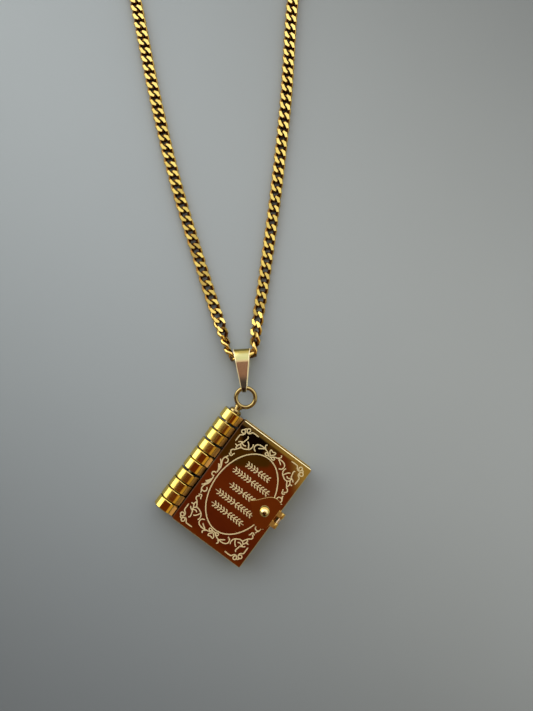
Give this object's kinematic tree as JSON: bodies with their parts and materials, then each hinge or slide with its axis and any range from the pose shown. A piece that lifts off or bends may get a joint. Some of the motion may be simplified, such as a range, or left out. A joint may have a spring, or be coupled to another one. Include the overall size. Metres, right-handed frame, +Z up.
{
  "type": "book locket necklace",
  "caption": "Small book-shaped locket with hinged covers and leaves, a fore-edge clasp and a tapered bail, on a flat curb chain.",
  "frame": {"origin": "on the surface under the middle of the whole necklace, measured over its box", "axes": "+Y from the locket towards the neck end of the chain, +X to the right seen from above, +Z up"},
  "size_m": [0.0679, 0.2727, 0.0071],
  "materials": {
    "chain_gold": "polished gold plate on steel, diamond-cut flats",
    "pale_gold": "polished pale gold plate on steel",
    "cover_gold": "mirror-polished gold plate on steel",
    "page_gold": "satin gold plate on steel"
  },
  "bodies": {
    "necklace": {"chain": "chain_gold", "chain_clasp": "chain_gold", "bail": "pale_gold", "hinge_pin": "pale_gold", "back_cover": "cover_gold"},
    "page_1": {"page_1": "page_gold"},
    "page_2": {"page_2": "page_gold"},
    "page_3": {"page_3": "page_gold"},
    "front": {"front_cover": "cover_gold", "lock_plate": "cover_gold", "ball_knob": "pale_gold", "clasp_pin": "page_gold"},
    "flap": {"clasp_flap": "page_gold"}
  },
  "joints": [
    {"name": "page_1_turn", "type": "hinge", "parent": "necklace", "child": "page_1", "pos_m": [-0.00228, -0.11437, 0.0024], "axis": [-0.5962, -0.8028, 0], "range_deg": [0, 30]},
    {"name": "page_2_turn", "type": "hinge", "parent": "page_1", "child": "page_2", "pos_m": [-0.00228, -0.11437, 0.0024], "axis": [-0.5962, -0.8028, 0], "range_deg": [0, 30]},
    {"name": "page_3_turn", "type": "hinge", "parent": "page_2", "child": "page_3", "pos_m": [-0.00228, -0.11437, 0.0024], "axis": [-0.5962, -0.8028, 0], "range_deg": [0, 30]},
    {"name": "cover_open", "type": "hinge", "parent": "page_3", "child": "front", "pos_m": [-0.00228, -0.11437, 0.0024], "axis": [-0.5962, -0.8028, 0], "range_deg": [0, 180]},
    {"name": "flap_swing", "type": "hinge", "parent": "front", "child": "flap", "pos_m": [0.01439, -0.12676, 0.00472], "axis": [-0.5962, -0.8028, 0], "range_deg": [0, 110]}
  ]
}
